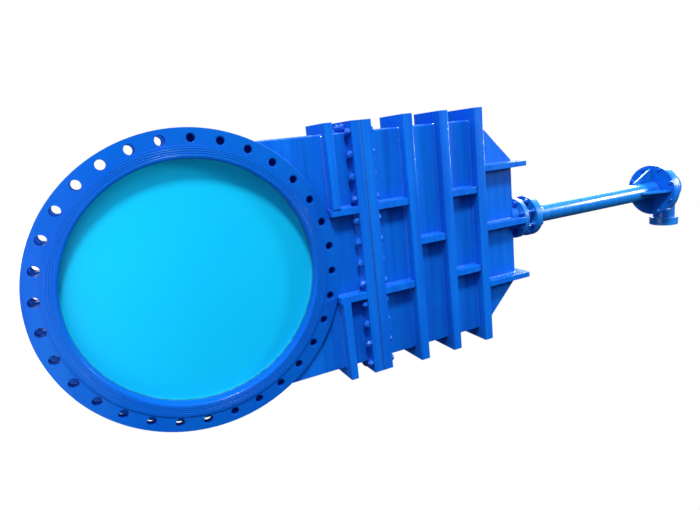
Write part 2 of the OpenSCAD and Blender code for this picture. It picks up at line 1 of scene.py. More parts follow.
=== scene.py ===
# %% [markdown]
# # A bonneted knife gate valve
# The valve is a welded steel box with a flanged bore at one end. A flat gate slides
# through it on a rising stem, which a bevel gear drives from the end of a long column.
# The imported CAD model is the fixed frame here: every place below is read from it.

# %% Load the frame
import json
import math
import random

import bmesh
import bpy
from mathutils import Matrix, Vector


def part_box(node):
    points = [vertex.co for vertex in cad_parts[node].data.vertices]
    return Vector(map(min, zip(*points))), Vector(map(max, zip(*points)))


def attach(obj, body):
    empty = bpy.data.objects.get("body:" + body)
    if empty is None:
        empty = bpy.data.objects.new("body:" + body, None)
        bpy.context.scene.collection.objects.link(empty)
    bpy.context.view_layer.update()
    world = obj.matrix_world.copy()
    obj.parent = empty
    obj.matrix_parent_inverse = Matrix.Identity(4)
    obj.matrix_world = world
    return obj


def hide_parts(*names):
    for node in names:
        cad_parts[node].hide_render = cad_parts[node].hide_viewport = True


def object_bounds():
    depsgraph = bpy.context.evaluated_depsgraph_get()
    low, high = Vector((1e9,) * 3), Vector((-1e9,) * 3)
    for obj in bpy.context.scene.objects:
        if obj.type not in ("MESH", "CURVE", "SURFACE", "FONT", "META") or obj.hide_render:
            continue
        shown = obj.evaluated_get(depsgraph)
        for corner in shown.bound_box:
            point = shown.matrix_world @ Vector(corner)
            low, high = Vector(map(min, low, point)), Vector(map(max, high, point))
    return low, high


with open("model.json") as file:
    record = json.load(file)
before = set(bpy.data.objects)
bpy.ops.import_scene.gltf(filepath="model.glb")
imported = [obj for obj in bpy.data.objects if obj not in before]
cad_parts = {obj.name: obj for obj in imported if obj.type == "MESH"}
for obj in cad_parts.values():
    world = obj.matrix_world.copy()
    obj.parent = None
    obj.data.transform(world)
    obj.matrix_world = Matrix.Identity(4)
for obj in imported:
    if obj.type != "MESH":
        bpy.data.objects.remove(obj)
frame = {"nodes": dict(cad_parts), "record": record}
cad_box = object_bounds()
MM = 0.001

# %% [markdown]
# ## Camera
# The view looks up at the valve from in front of its inlet flange, with the camera
# turned on its side, so that the stem lies across the picture. A camera's own axes are
# the columns of its rotation: right, up and backwards.

# %% Camera
CAMERA_AT = Vector((-0.6087, -2.5424, -0.35555))
LOOKING = Vector((0.21369, 0.88857, 0.40594))
TO_THE_RIGHT = Vector((0.10254, -0.43364, 0.89523))

camera_data = bpy.data.cameras.new("camera")
camera_data.sensor_width = 36
camera_data.lens = 27.04
camera = bpy.data.objects.new("camera", camera_data)
bpy.context.collection.objects.link(camera)
upwards = TO_THE_RIGHT.cross(LOOKING)
turned = Matrix((TO_THE_RIGHT, upwards, -LOOKING)).transposed()
camera.matrix_world = Matrix.Translation(CAMERA_AT) @ turned.to_4x4()
camera_data.clip_end = 100
bpy.context.scene.camera = camera
print("camera stands at", tuple(CAMERA_AT))

# %% [markdown]
# ## Shader maths as Python
# A material is a network of nodes, and long chains of Math nodes are hard to read. The
# class below wraps one output socket, so that `1 - mask * 0.3` adds the Math nodes.
# Any other node comes from `Finish.node`, which takes its type, then its settings, and
# then the values or links of its inputs.

# %% Signals and finishes
class Signal:
    """One output socket. Arithmetic on it adds Math nodes to its material."""

    def __init__(self, finish, socket):
        self.finish = finish
        self.socket = socket

    def math(self, operation, *values):
        inputs = dict(enumerate(values))
        return self.finish.node("ShaderNodeMath", {"operation": operation}, inputs)

    def __add__(self, other): return self.math("ADD", self, other)
    def __sub__(self, other): return self.math("SUBTRACT", self, other)
    def __mul__(self, other): return self.math("MULTIPLY", self, other)
    def __radd__(self, other): return self.math("ADD", other, self)
    def __rsub__(self, other): return self.math("SUBTRACT", other, self)
    def __rmul__(self, other): return self.math("MULTIPLY", other, self)

    def clamped(self):
        return self.math("MINIMUM", self.math("MAXIMUM", self, 0.0), 1.0)


class Finish:
    """A material under construction."""

    def __init__(self, name):
        self.material = bpy.data.materials.new(name)
        self.material.use_nodes = True
        self.tree = self.material.node_tree
        self.tree.nodes.clear()

    def node(self, kind, settings=None, inputs=None, output=0):
        node = self.tree.nodes.new(kind)
        for name, value in (settings or {}).items():
            if name == "stops":
                self.set_stops(node.color_ramp, value)
            else:
                setattr(node, name, value)
        for name, value in (inputs or {}).items():
            if isinstance(value, Signal):
                self.tree.links.new(value.socket, node.inputs[name])
            else:
                node.inputs[name].default_value = value
        return Signal(self, node.outputs[output]) if len(node.outputs) else node

    @staticmethod
    def set_stops(ramp, stops):
        while len(ramp.elements) < len(stops):
            ramp.elements.new(1.0)
        for element, (place, shade) in zip(ramp.elements, stops):
            element.position = place
            element.color = (shade, shade, shade, 1)

    def surface(self, shader, **inputs):
        """The Principled shader and the output. Constants go on its own sockets."""
        named = {name.replace("_", " "): value for name, value in inputs.items()}
        bsdf = self.node("ShaderNodeBsdfPrincipled", {}, {**shader, **named})
        self.node("ShaderNodeOutputMaterial", {}, {"Surface": bsdf})
        return self.material


print("shader helpers are ready")

# %% [markdown]
# Patterns are placed by object coordinates. Each CAD node's object sits at the origin,
# so these are millimetre-true places on the valve, and a noise of scale 20 has lumps of
# about 50 mm on a plate and on a bolt alike.

# %% Pattern helpers
def place(finish):
    return finish.node("ShaderNodeTexCoord", output="Object")


def noise(finish, where, scale, detail=3.0, rough=0.5, distortion=0.0):
    inputs = {"Vector": where, "Scale": scale, "Detail": detail, "Roughness": rough,
              "Distortion": distortion}
    return finish.node("ShaderNodeTexNoise", {}, inputs)


def ramp(finish, factor, *stops):
    return finish.node("ShaderNodeValToRGB", {"stops": stops}, {"Fac": factor})


def blend(finish, factor, first, second):
    inputs = {0: factor, 6: first, 7: second}
    return finish.node("ShaderNodeMix", {"data_type": "RGBA"}, inputs, output=2)


def bump(finish, height, distance, strength=1.0, under=None):
    inputs = {"Height": height, "Distance": distance, "Strength": strength}
    if under is not None:
        inputs["Normal"] = under
    return finish.node("ShaderNodeBump", {}, inputs)


def rgb(red, green, blue):
    return (red, green, blue, 1.0)


def corner_occlusion(finish, reach):
    """0 on open faces, up to 1 in occluded corners, where shade is painted."""
    inputs = {"Distance": reach}
    settings = {"samples": 4}
    open_air = finish.node("ShaderNodeAmbientOcclusion", settings, inputs, output="AO")
    return (1 - open_air).clamped()


# %% [markdown]
# ## Enamel on welded plate
# The whole valve is sprayed in one glossy blue. A flat colour would look like plastic:
# real enamel pools a little and lies over slight waves in the plate. Long dark streaks
# are painted reflections, and its corners are painted darker as shade. Coat gives the
# clear gloss, and the slow noise bends the reflections as a hand-sprayed plate does.

# %% Blue enamel
BLUE = rgb(0.003, 0.15, 0.66)
LIGHT_BLUE = rgb(0.006, 0.20, 0.78)
# A darker blue, towards which painted shade is blended: corners, streaks and broad patches.
SHADE_BLUE = rgb(0.002, 0.05, 0.44)
SKY_BLUE = rgb(0.010, 0.24, 0.66)
# The flanges' tone is the plate blue made darker: painted shade.
SHADED_FLANGE_BLUE = rgb(0.002, 0.115, 0.50)


def blue_enamel(name, grain, grain_depth, gloss=0.15, index=1.3, tone=BLUE):
    finish = Finish(name)
    where = place(finish)
    clouds = ramp(finish, noise(finish, where, 3.5, 4.0), (0.3, 0.0), (0.7, 1.0))
    colour = blend(finish, clouds * 0.45, tone, LIGHT_BLUE)
    # Long streaks along X, blended towards the darker blue, are painted reflections.
    streak_place = finish.node(
        "ShaderNodeVectorMath", {"operation": "MULTIPLY"}, {0: where, 1: (0.7, 1.0, 16.0)})
    painted_reflection_streaks = ramp(finish, noise(finish, streak_place, 1.6, 2.0), (0.4, 0.0), (0.68, 1.0))
    colour = blend(finish, painted_reflection_streaks * 0.4, colour, SHADE_BLUE)
    # Occluded corners, broken up by noise, are blended darker as painted shade; the same mask
    # roughens the enamel as dust would.
    dust_and_corner_shade = corner_occlusion(finish, 0.05)
    dust_and_corner_shade = dust_and_corner_shade * ramp(finish, noise(finish, where, 14.0), (0.35, 0.35), (0.7, 1.0))
    colour = blend(finish, (dust_and_corner_shade * 0.8).clamped(), colour, SHADE_BLUE)
    chips = ramp(finish, noise(finish, where, 75.0, 6.0, 0.62), (0.72, 0.0), (0.75, 1.0))
    chips = chips * ramp(finish, noise(finish, where, 2.2), (0.52, 0.0), (0.66, 1.0))
    colour = blend(finish, chips * 0.35, colour, LIGHT_BLUE)
    streaks = noise(finish, where, 22.0, 5.0, 0.6)
    roughness = 0.2 + streaks * 0.14 + dust_and_corner_shade * 0.3 + chips * 0.15
    waves = bump(finish, noise(finish, where, 5.0, 2.0), 0.004, 0.5)
    peel = bump(finish, noise(finish, where, grain, 3.0), grain_depth, 0.6, waves)
    shader = {"Base Color": colour, "Roughness": roughness, "Normal": peel}
    return finish.surface(shader, Coat_Weight=gloss, Coat_Roughness=0.06, IOR=index)


PLATE_BLUE = blue_enamel("blue_enamel_on_plate", 260.0, 0.0005)
CAST_BLUE = blue_enamel("blue_enamel_on_casting", 150.0, 0.0016, 0.9, 1.5, SKY_BLUE)
WELD_BLUE = blue_enamel("blue_enamel_on_welds", 300.0, 0.0008, 1.0, 1.6)
COLUMN_BLUE = blue_enamel("blue_enamel_on_column", 260.0, 0.0003, 0.3, 1.4, SKY_BLUE)
BOLT_BLUE = blue_enamel("blue_enamel_on_bolts", 300.0, 0.0004, 1.0, 1.6)
print("blue enamels:", PLATE_BLUE.name, CAST_BLUE.name)

# %% [markdown]
# The raised faces of the flanges are turned, and the enamel follows the fine rings that
# the tool left. The rings are a wave of the distance from the bore's axis, so a Vector
# Math node measures that distance in the XZ plane, and a Math node makes the wave.

# %% Enamel over turned rings
def turned_rings(finish, where, flat_axis, spacing):
    flat = [1.0, 1.0, 1.0]
    flat[flat_axis] = 0.0
    flattened = finish.node(
        "ShaderNodeVectorMath", {"operation": "MULTIPLY"}, {0: where, 1: flat})
    radius = finish.node(
        "ShaderNodeVectorMath", {"operation": "LENGTH"}, {0: flattened}, output="Value")
    wave = radius * (2 * math.pi / spacing)
    return wave.math("SINE", wave)


def flange_enamel():
    finish = Finish("blue_enamel_on_flange")
    where = place(finish)
    clouds = ramp(finish, noise(finish, where, 3.0, 4.0), (0.3, 0.0), (0.7, 1.0))
    colour = blend(finish, clouds * 0.5, SHADED_FLANGE_BLUE, BLUE)
    # Broad patches blended darker are painted shade.
    broad_shade_patches = ramp(finish, noise(finish, where, 1.4, 2.0), (0.42, 0.0), (0.62, 1.0))
    colour = blend(finish, broad_shade_patches * 0.35, colour, SHADE_BLUE)
    # Occluded corners are blended darker as painted shade; the same mask roughens the enamel.
    dust_and_corner_shade = corner_occlusion(finish, 0.04)
    colour = blend(finish, (dust_and_corner_shade * 0.75).clamped(), colour, SHADE_BLUE)
    rings = turned_rings(finish, where, 1, 0.0035)
    roughness = 0.2 + noise(finish, where, 20.0, 5.0) * 0.12 + dust_and_corner_shade * 0.25
    waves = bump(finish, noise(finish, where, 6.0, 2.0), 0.003, 0.4)
    cut = bump(finish, rings, 0.0005, 0.35, waves)
    shader = {"Base Color": colour, "Roughness": roughness, "Normal": cut}
    return finish.surface(shader, Coat_Weight=0.1, Coat_Roughness=0.05, IOR=1.22)


FLANGE_BLUE = flange_enamel()

# %% [markdown]
# ## The gate's coating
# The gate is a ground plate under a bright cyan coat. It is the smoothest surface on
# the valve, with long faint rubbing marks in the direction of travel.

# %% Cyan coating
CYAN = rgb(0.003, 0.50, 0.77)
PALE_CYAN = rgb(0.005, 0.54, 0.80)


def gate_coating():
    finish = Finish("cyan_gate_coating")
    where = place(finish)
    clouds = noise(finish, where, 2.4, 4.0)
    stretched = finish.node(
        "ShaderNodeVectorMath", {"operation": "MULTIPLY"}, {0: where, 1: (160.0, 160.0, 2.5)})
    rubbing = noise(finish, stretched, 1.0, 3.0, 0.6)
    marks = ramp(finish, rubbing, (0.5, 0.0), (0.8, 1.0))
    colour = blend(finish, (clouds * 0.7 + marks * 0.25).clamped(), CYAN, PALE_CYAN)
    roughness = 0.3 + marks * 0.18 + clouds * 0.08
    peel = bump(finish, noise(finish, where, 190.0, 2.0), 0.0004, 0.35)
    shader = {"Base Color": colour, "Roughness": roughness, "Normal": peel}
    return finish.surface(shader, Coat_Weight=0.05, Coat_Roughness=0.2, IOR=1.3)


GATE_CYAN = gate_coating()

# %% [markdown]
# ## Bare metals, rubber and packing
# Inside, the stem, gears and bearings are bare. One function serves the metals: the
# tool marks are rings round the stem axis, and oil darkens and smooths some patches.

# %% Machined metals
def machined(name, bright, dull, rough, ring_spacing):
    finish = Finish(name)
    where = place(finish)
    centred = finish.node(
        "ShaderNodeVectorMath", {"operation": "SUBTRACT"}, {0: where, 1: (0.0, 0.09, 0.0)})
    rings = turned_rings(finish, centred, 2, ring_spacing)
    oil = ramp(finish, noise(finish, where, 30.0, 5.0), (0.42, 0.0), (0.62, 1.0))
    scuffs = noise(finish, where, 320.0, 6.0, 0.7)
    colour = blend(finish, (oil * 0.6 + scuffs * 0.3).clamped(), bright, dull)
    roughness = rough + scuffs * 0.2 - oil * 0.08
    marks = bump(finish, rings * 0.5 + scuffs, 0.0002, 0.5)
    shader = {"Base Color": colour, "Roughness": roughness, "Normal": marks}
    return finish.surface(shader, Metallic=1.0)


STEEL = machined("machined_steel", rgb(0.54, 0.57, 0.6), rgb(0.25, 0.28, 0.31), 0.26, 0.0016)
POLISHED = machined("bearing_steel", rgb(0.72, 0.72, 0.73), rgb(0.5, 0.5, 0.5), 0.12, 0.004)
BRONZE = machined("cast_bronze", rgb(0.62, 0.38, 0.15), rgb(0.3, 0.18, 0.08), 0.3, 0.002)


# %% Rubber and packing
def gasket_rubber():
    finish = Finish("gasket_rubber")
    where = place(finish)
    dust = ramp(finish, noise(finish, where, 40.0, 6.0), (0.4, 0.0), (0.75, 1.0))
    colour = blend(finish, dust, rgb(0.006, 0.009, 0.02), rgb(0.012, 0.03, 0.1))
    grain = bump(finish, noise(finish, where, 400.0, 4.0), 0.0006, 0.7)
    shader = {"Base Color": colour, "Roughness": 0.62 + dust * 0.25, "Normal": grain}
    return finish.surface(shader, IOR=1.5)


def packing_braid():
    finish = Finish("graphite_packing")
    where = place(finish)
    settings = {"wave_type": "BANDS", "bands_direction": "DIAGONAL"}
    inputs = {"Vector": where, "Scale": 90.0, "Distortion": 2.0, "Detail": 2.0}
    braid = finish.node("ShaderNodeTexWave", settings, inputs, output="Fac")
    colour = blend(finish, braid, rgb(0.015, 0.014, 0.013), rgb(0.12, 0.11, 0.1))
    plaits = bump(finish, braid, 0.0012, 0.9)
    shader = {"Base Color": colour, "Roughness": 0.5 + braid * 0.2, "Normal": plaits}
    return finish.surface(shader, IOR=1.5)


RUBBER = gasket_rubber()
PACKING = packing_braid()
print("materials made:", len(bpy.data.materials))

# %% [markdown]
# ## Which finish goes where
# The record names a slot for every node. The slot picks the finish here too, and the
# castings, the column and the bolts get their own version of the blue. The turned flanges
# get one with turned rings and a darker tone, which is painted shade.

# %% Finishes for the CAD nodes
BY_SLOT = {
    "blue_paint": PLATE_BLUE, "gate_coating": GATE_CYAN, "machined_steel": STEEL,
    "bearing_steel": POLISHED, "bronze": BRONZE, "gasket_rubber": RUBBER,
    "packing_braid": PACKING,
}
CASTINGS = ("gearbox_base", "gearbox_housing", "housing_cover", "input_flange", "stuffing_box")
LINE_FLANGES = ("front_flange_ring", "rear_flange_ring")
COLUMN = ("column_tube", "column_foot_flange", "column_head_gussets")
BOLTING = ("column_nuts", "column_studs", "joint_bolts", "joint_nuts", "housing_bolts",
           "head_bolts")
slot_of = {row["node"]: row["material_slot"] for row in frame["record"]["subparts"]}
body_of = {}
for body, members in frame["record"]["behaviour"]["bodies"].items():
    for member in members:
        body_of[member] = body


def finish_of(node):
    if node in CASTINGS:
        return CAST_BLUE
    if node in LINE_FLANGES:
        return FLANGE_BLUE
    if node in COLUMN:
        return COLUMN_BLUE
    if node in BOLTING:
        return BOLT_BLUE
    return BY_SLOT[slot_of[node]]


for node, cad_object in frame["nodes"].items():
    cad_object.data.materials.clear()
    cad_object.data.materials.append(finish_of(node))
print("finished", len(slot_of), "nodes")

# %% [markdown]
# ## Broken edges
# No plate edge on a real valve is razor sharp: it is ground before painting, and a thin
# bright line runs along it. The CAD mesh stays as it is, so the plates,
# ribs, flanges and castings get a stand-in: the same mesh with its flat faces merged and
# its edges bevelled by one to three millimetres. The bore's mouth is rounded further.

# %% Make a stand-in with broken edges
SHARP = math.radians(30)


def new_piece(name, mesh_data, node, replaces=(), finish=None):
    """Puts a mesh into the scene as a piece that rides with the node's body."""
    piece = bpy.data.objects.new(name, mesh_data)
    bpy.context.collection.objects.link(piece)
    piece.data.materials.clear()
    piece.data.materials.append(finish or finish_of(node))
    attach(piece, body_of[node])
    for replaced in replaces:
        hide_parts(replaced)
    return piece


def smooth_by_angle(mesh_data):
    for face in mesh_data.polygons:
        face.use_smooth = True
    mesh_data.set_sharp_from_angle(angle=SHARP)


def clean_copy(node):
    """The node's mesh with split corners joined and flat faces made whole."""
    work = bmesh.new()
    work.from_mesh(frame["nodes"][node].data)
    bmesh.ops.remove_doubles(work, verts=work.verts, dist=0.01 * MM)
    bmesh.ops.dissolve_limit(
        work, angle_limit=math.radians(0.5), verts=work.verts, edges=work.edges)
    return work


def sharp_edges(work, wanted=lambda edge: True):
    return [edge for edge in work.edges
            if edge.is_manifold and edge.calc_face_angle() > SHARP and wanted(edge)]


def break_edges(node, width, wider=None):
    """The node's mesh with its edges broken. A test in wider picks edges for a first
    and larger rounding."""
    work = clean_copy(node)
    narrow = set()
    if wider:
        chosen, mouth, fine = wider
        rounded = bmesh.ops.bevel(
            work, geom=sharp_edges(work, chosen), offset=mouth * MM, segments=5,
            profile=0.5, affect="EDGES", clamp_overlap=True)
        narrow.update(rounded["faces"])
        rest = sharp_edges(work, lambda edge: not fine(edge))
    else:
        rest = sharp_edges(work)
    broken = bmesh.ops.bevel(
        work, geom=rest, offset=width * MM, segments=2, profile=0.6,
        affect="EDGES", clamp_overlap=True)
    narrow = {face for face in narrow.union(broken["faces"]) if face.is_valid}
    for face in work.faces:
        face.smooth = True
    for edge in work.edges:
        sides = [face in narrow for face in edge.link_faces]
        edge.smooth = sides.count(True) != 1 and edge.calc_face_angle(0) < SHARP * 1.3
    mesh_data = bpy.data.meshes.new(node + "_worked")
    work.to_mesh(mesh_data)
    work.free()
    return new_piece(node + "_worked", mesh_data, node, [node])


BORE_R = 600 * MM
RAISED_FACE_R = 662.5 * MM
INLET_FACE = -5 * MM
OUTLET_FACE = 185 * MM
MOUTH_ROUNDING = 12.0


def at_radius(edge, radius):
    return all(abs(math.hypot(vertex.co.x, vertex.co.z) - radius) < 0.5 * MM
               for vertex in edge.verts)


def bore_mouth(edge):
    face_y = min(vertex.co.y for vertex in edge.verts)
    outside = face_y < INLET_FACE + MM or face_y > OUTLET_FACE - MM
    return outside and at_radius(edge, BORE_R)


def serration(edge):
    reach = max(math.hypot(vertex.co.x, vertex.co.z) for vertex in edge.verts)
    return BORE_R - MM < reach < RAISED_FACE_R - MM


EDGE_WIDTHS = {
    "front_body_plate": 1.5, "rear_body_plate": 1.5, "body_edge_bar": 1.5,
    "body_cross_ribs": 2.5, "body_long_ribs": 2.5, "body_joint_flange": 2.5,
    "chest_joint_flange": 2.5, "chest_front_plate": 2.0, "chest_rear_plate": 2.0,
    "chest_side_bars": 2.0, "chest_end_plate": 1.5, "hoop_rib_lower": 3.0,
    "hoop_rib_middle": 3.0, "hoop_rib_upper": 3.0, "chest_short_ribs": 2.5,
    "saddle_gussets": 2.5, "centre_gussets": 2.5, "gate": 1.0, "stuffing_box": 2.0,
    "column_foot_flange": 2.0, "column_head_flange": 2.5,
    "column_head_gussets": 1.5, "column_foot_gussets": 1.5, "gearbox_base": 3.0,
    "gearbox_housing": 3.0, "housing_cover": 2.0, "input_flange": 3.0,
}
for node, width in EDGE_WIDTHS.items():
    break_edges(node, width)
for node in ("front_flange_ring", "rear_flange_ring"):
    break_edges(node, 2.0, (bore_mouth, MOUTH_ROUNDING, serration))
print("edges broken on", len(EDGE_WIDTHS), "nodes")

# %% [markdown]
# ## Fasteners
# The CAD fasteners are plain prisms. The real ones have a chamfered hexagon, a washer
# face and a thread that stands out of the nut. Each solid of a CAD node is found as an
# island of its mesh, so the detailed ones go exactly where the plain ones are.

# %% Find the solids of a node
def solids(node):
    """The boxes of a node's separate solids, as (lowest, highest) corners."""
    work = bmesh.new()
    work.from_mesh(frame["nodes"][node].data)
    bmesh.ops.remove_doubles(work, verts=work.verts, dist=0.01 * MM)
    seen = set()
    boxes = []
    for start in work.verts:
        if start in seen:
            continue
        seen.add(start)
        island = [start]
        for vertex in island:
            for edge in vertex.link_edges:
                other = edge.other_vert(vertex)
                if other not in seen:
                    seen.add(other)
                    island.append(other)
        places = [vertex.co for vertex in island]
        low = Vector(min(place[axis] for place in places) for axis in range(3))
        high = Vector(max(place[axis] for place in places) for axis in range(3))
        boxes.append((low, high))
    work.free()
    return boxes


print("joint bolts:", len(solids("joint_bolts")))


# %% [markdown]
# A turned piece is a profile spun round an axis. Rings of points are joined by quads,
# and a ring's radius may vary round the axis too, which is all that a hexagon with its
# corners chamfered, or a helical thread, needs.

# %% Rings joined by quads
def rings_to_mesh(work, rings, closed_ends=True):
    """Joins rings of equal length, each a list of points, into a skin."""
    rows = [[work.verts.new(point) for point in ring] for ring in rings]
    count = len(rows[0])
    for below, above in zip(rows, rows[1:]):
        for step in range(count):
            after = (step + 1) % count
            work.faces.new((below[step], below[after], above[after], above[step]))
    if closed_ends:
        work.faces.new(list(reversed(rows[0])))
        work.faces.new(rows[-1])


def round_ring(radius, height, count, turn=0.0):
    return [Vector((radius(angle) * math.cos(angle + turn),
                    radius(angle) * math.sin(angle + turn), height))
            for angle in (step * 2 * math.pi / count for step in range(count))]


def hexagon_radius(across, limit):
    """Distance to a hexagon's outline, cut back to a circle of radius limit."""
    def radius(angle):
        off_flat = (angle + math.pi / 6) % (math.pi / 3) - math.pi / 6
        return min(across / 2 / math.cos(off_flat), limit)
    return radius


def hexagon_rings(across, low, high, turn, chamfer_low=True):
    """A hexagon whose corners are chamfered, from height low to height high."""
    corner = across / 2 / math.cos(math.pi / 6)
    drop = (corner - across / 2) * math.tan(math.radians(30))
    limits = [(low, corner), (high - drop * 2, corner), (high - drop, corner * 0.965),
              (high, across / 2 * 0.96)]
    if chamfer_low:
        limits[:1] = [(low, across / 2 * 0.96), (low + drop, corner * 0.965),
                      (low + drop * 2, corner)]
    return [round_ring(hexagon_radius(across, limit), height, 48, turn)
            for height, limit in limits]


def thread_rings(diameter, pitch, low, high, count=24, depth=0.55):
    """A helical thread: the profile climbs by one pitch in each turn."""
    rows = max(2, round((high - low) / pitch * 4))
    rings = []
    for row in range(rows + 1):
        height = low + (high - low) * row / rows

        def radius(angle, height=height):
            phase = (height / pitch - angle / (2 * math.pi)) % 1.0
            cut = abs(phase * 2 - 1) * depth * pitch
            taper = min(1.0, (high - height) / pitch + 0.3, (height - low) / pitch + 0.3)
            return diameter / 2 - cut - (1 - taper) * pitch * 0.3
        rings.append(round_ring(radius, height, count))
    return rings


# %% [markdown]
# A set of fasteners is drawn round its own axes and then moved to its place. The bolt
# has a head, a washer and a threaded end, and its shank is a plain cylinder between.

# %% Bolts and nuts of the body joint
chance = random.Random(7)


def piece_from(work, name, node, replaces, finish=None):
    mesh_data = bpy.data.meshes.new(name)
    bmesh.ops.recalc_face_normals(work, faces=work.faces)
    work.to_mesh(mesh_data)
    work.free()
    smooth_by_angle(mesh_data)
    return new_piece(name, mesh_data, node, replaces, finish)


def moved(work, first, matrix):
    bmesh.ops.transform(work, matrix=matrix, verts=list(work.verts)[first:])


def washer_rings(outer, low, high):
    rim = (high - low) * 0.2
    return [round_ring(lambda angle, r=r: r, height, 32)
            for height, r in ((low, outer - rim), (low + rim, outer),
                              (high - rim, outer), (high, outer - rim))]


def stand(spot, up=1):
    """A place for a fastener, with its own Z up or down the valve's Z."""
    flip = Matrix.Identity(4) if up > 0 else Matrix.Rotation(math.pi, 4, "X")
    return Matrix.Translation(spot) @ flip


def middle(low, high, height):
    return Vector(((low.x + high.x) / 2, (low.y + high.y) / 2, height))


def upright_bolts(name, node, diameter, pitch, head_faces_up=lambda low: True):
    """Detailed bolts over a node's plain ones, with the head at one end of the box."""
    work = bmesh.new()
    head = 0.62 * diameter
    for low, high in solids(node):
        length = high.z - low.z
        up = 1 if head_faces_up(low) else -1
        first = len(work.verts)
        turn = chance.uniform(0, math.pi / 3)
        rings_to_mesh(work, hexagon_rings(
            1.5 * diameter, -head + 0.12 * diameter, 0, turn, chamfer_low=False))
        rings_to_mesh(work, washer_rings(0.84 * diameter, -head, -head + 0.13 * diameter))
        shank_end = -length + 1.6 * diameter
        rings_to_mesh(work, [round_ring(lambda angle: diameter * 0.48, height, 24)
                             for height in (shank_end, -head)])
        rings_to_mesh(work, thread_rings(diameter * 0.99, pitch, -length, shank_end))
        moved(work, first, stand(middle(low, high, high.z if up > 0 else low.z), up))
    return piece_from(work, name, node, [node])


def upright_nuts(name, nodes, diameter, height):
    work = bmesh.new()
    for node in nodes:
        for low, high in solids(node):
            if high.z - low.z > height * 1.2:
                continue
            first = len(work.verts)
            rings_to_mesh(work, hexagon_rings(
                1.5 * diameter, 0, high.z - low.z, chance.uniform(0, math.pi / 3)))
            moved(work, first, stand(middle(low, high, low.z)))
    return piece_from(work, name, nodes[0], nodes)


joint_bolt_set = upright_bolts("joint_bolt_set", "joint_bolts", 24 * MM, 3 * MM)
upright_nuts("joint_nut_set", ["joint_nuts"], 24 * MM, 20 * MM)
print("joint fasteners:", len(joint_bolt_set.data.vertices), "points")

# %% Studs and nuts of the neck, and the gearbox bolts
def threaded_studs(name, node, diameter, pitch):
    work = bmesh.new()
    for low, high in solids(node):
        first = len(work.verts)
        rings_to_mesh(work, thread_rings(diameter * 0.99, pitch, 0, high.z - low.z, 20))
        moved(work, first, stand(middle(low, high, low.z)))
    return piece_from(work, name, node, [node])


threaded_studs("column_stud_set", "column_studs", 20 * MM, 2.5 * MM)
upright_nuts("column_nut_set", ["column_nuts"], 20 * MM, 16 * MM)
threaded_studs("gland_stud_set", "gland_studs", 12 * MM, 1.75 * MM)
upright_nuts("gland_nut_set", ["gland_nuts"], 12 * MM, 10 * MM)
upright_bolts(
    "head_bolt_set", "head_bolts", 16 * MM, 2 * MM, head_faces_up=lambda low: False)
print("neck and gearbox fasteners are in place")

# %% [markdown]
# ## Weld beads
# Every rib, plate and gusset is held by a fillet weld: a bead in the corner with the
# ripples that the arc left. A bead is a tube swept along the corner, with a radius that
# swells and shrinks as it goes. Under the enamel it catches a bright line of light,
# which draws the edges of the whole valve.

# %% Lay beads
RIPPLE = 7 * MM
PLATE_BEAD = 7 * MM
RING_BEAD = 6 * MM
TUBE_BEAD = 4 * MM
BODY_CORNER_LENGTH = 480 * MM


def lay_bead(work, points, radius):
    """A rippled tube along a path of straight stretches."""
    for start, end in zip(points, points[1:]):
        along = end - start
        length = along.length
        if length < 3 * radius:
            continue
        steps = max(3, round(length / (RIPPLE / 2)))
        side = along.orthogonal().normalized()
        other = along.cross(side).normalized()
        drift = chance.uniform(0, 6)
        rings = []
        for step in range(steps + 1):
            swell = 1 + 0.13 * (step % 2) + 0.06 * math.sin(step * 0.61 + drift)
            close = min(1.0, 0.35 + step * 0.5, 0.35 + (steps - step) * 0.5)
            centre = start + along * (step / steps)
            size = radius * swell * close
            rings.append([centre + (side * math.cos(angle) + other * math.sin(angle)) * size
                          for angle in (k * math.pi / 4 for k in range(8))])
        rings_to_mesh(work, rings)


body_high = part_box("front_body_plate")[1]
chest_low, chest_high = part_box("chest_front_plate")
back_low, back_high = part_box("chest_rear_plate")
FRONT = chest_low.y
BACK = back_high.y
SIDE = chest_high.x
print("plate faces at y =", round(FRONT, 4), "and", round(BACK, 4))


# %% [markdown]
# The corners to weld follow from the boxes of the ribs. A bar across the plates is
# welded along both its edges, on the faces and round the sides. A rib along the stem is
# welded down both its flanks.

# %% Corners of the ribs
def welded_round(level):
    """A bead at one height, along both faces and both sides of the box."""
    return [[Vector((-SIDE, FRONT, level)), Vector((SIDE, FRONT, level))],
            [Vector((-SIDE, BACK, level)), Vector((SIDE, BACK, level))],
            [Vector((-SIDE, FRONT, level)), Vector((-SIDE, BACK, level))],
            [Vector((SIDE, FRONT, level)), Vector((SIDE, BACK, level))]]


def welded_flanks(node, low_z=None, high_z=None):
    """Beads down both flanks of each solid of a node that stands on a plate."""
    paths = []
    for low, high in solids(node):
        for face in (FRONT, BACK):
            if low.y - MM <= face <= high.y + MM:
                for x in (low.x, high.x):
                    bottom = Vector((x, face, low.z if low_z is None else low_z))
                    top = Vector((x, face, high.z if high_z is None else high_z))
                    paths.append([bottom, top])
    return paths


bead_paths = []
for hoop in ("hoop_rib_lower", "hoop_rib_middle", "hoop_rib_upper"):
    hoop_low, hoop_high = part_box(hoop)
    bead_paths += welded_round(hoop_low.z)
    if hoop != "hoop_rib_upper":
        bead_paths += welded_round(hoop_high.z)
bead_paths += welded_round(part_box("body_joint_flange")[0].z)
bead_paths += welded_round(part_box("chest_joint_flange")[1].z)
bead_paths += welded_flanks("chest_short_ribs")
bead_paths += welded_flanks("saddle_gussets", high_z=chest_high.z)
bead_paths += welded_flanks("centre_gussets", high_z=chest_high.z)
bead_paths += welded_flanks("body_long_ribs")
print(len(bead_paths), "straight beads so far")

